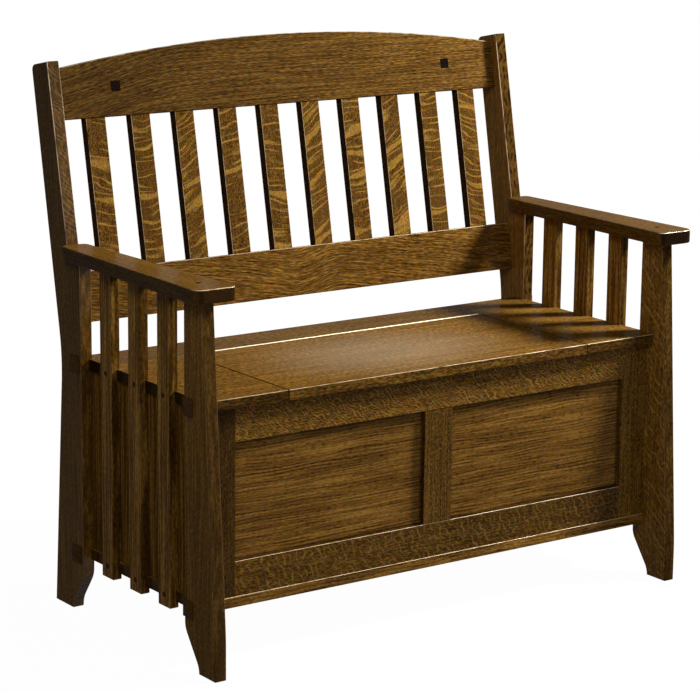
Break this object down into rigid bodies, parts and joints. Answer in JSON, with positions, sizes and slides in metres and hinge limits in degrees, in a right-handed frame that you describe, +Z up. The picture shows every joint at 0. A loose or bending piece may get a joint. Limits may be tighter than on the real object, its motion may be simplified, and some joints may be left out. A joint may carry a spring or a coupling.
{
  "type": "mission settle",
  "caption": "Wooden settle with a slatted raked back, slatted sides, flat arms and a hinged seat lid over a panelled storage chest.",
  "frame": {"origin": "on the floor, below the middle of the settle's overall width and depth", "axes": "+X to the right as seen from the front, +Y towards the back, +Z up"},
  "size_m": [1.0722, 0.594, 0.9952],
  "materials": {
    "fumed_oak": "satin",
    "cap_oak": "satin",
    "dark_peg": "satin",
    "brass": "satin",
    "hinge_steel": "satin",
    "screw_steel": "satin"
  },
  "bodies": {
    "frame": {"arm_plugs": "dark_peg", "arm_screws": "screw_steel", "back_slat_01": "fumed_oak", "back_slat_02": "fumed_oak", "back_slat_03": "fumed_oak", "back_slat_04": "fumed_oak", "back_slat_05": "fumed_oak", "back_slat_06": "fumed_oak", "back_slat_07": "fumed_oak", "back_slat_08": "fumed_oak", "back_slat_09": "fumed_oak", "back_slat_10": "fumed_oak", "bottom_board": "fumed_oak", "cap_screws": "screw_steel", "chest_back_panel": "fumed_oak", "crest_pegs": "dark_peg", "crest_rail": "fumed_oak", "front_bottom_rail": "fumed_oak", "front_left_panel": "fumed_oak", "front_left_stile": "fumed_oak", "front_mullion": "fumed_oak", "front_right_panel": "fumed_oak", "front_right_stile": "fumed_oak", "front_top_rail": "fumed_oak", "hinge_fixed_leaf": "brass", "hinge_fixed_screws": "hinge_steel", "hinge_pin": "brass", "left_arm": "fumed_oak", "left_front_leg": "fumed_oak", "left_leg_caps": "cap_oak", "left_lid_bearer": "fumed_oak", "left_rear_post": "fumed_oak", "left_seat_end": "fumed_oak", "left_side_panel": "fumed_oak", "left_side_slat_1": "fumed_oak", "left_side_slat_2": "fumed_oak", "left_side_slat_3": "fumed_oak", "lower_back_rail": "fumed_oak", "right_arm": "fumed_oak", "right_front_leg": "fumed_oak", "right_leg_caps": "cap_oak", "right_lid_bearer": "fumed_oak", "right_rear_post": "fumed_oak", "right_seat_end": "fumed_oak", "right_side_panel": "fumed_oak", "right_side_slat_1": "fumed_oak", "right_side_slat_2": "fumed_oak", "right_side_slat_3": "fumed_oak", "seat_back_strip": "fumed_oak", "slat_plugs": "dark_peg", "slat_screws": "screw_steel"},
    "lid": {"seat_lid": "fumed_oak", "left_lid_batten": "fumed_oak", "right_lid_batten": "fumed_oak", "batten_screws": "screw_steel", "hinge_moving_leaf": "brass", "hinge_lid_screws": "hinge_steel"}
  },
  "joints": [
    {"name": "lid_hinge", "type": "hinge", "parent": "frame", "child": "lid", "pos_m": [0, 0.06947, 0.4629], "axis": [-1, 0, 0], "range_deg": [0, 118]}
  ]
}
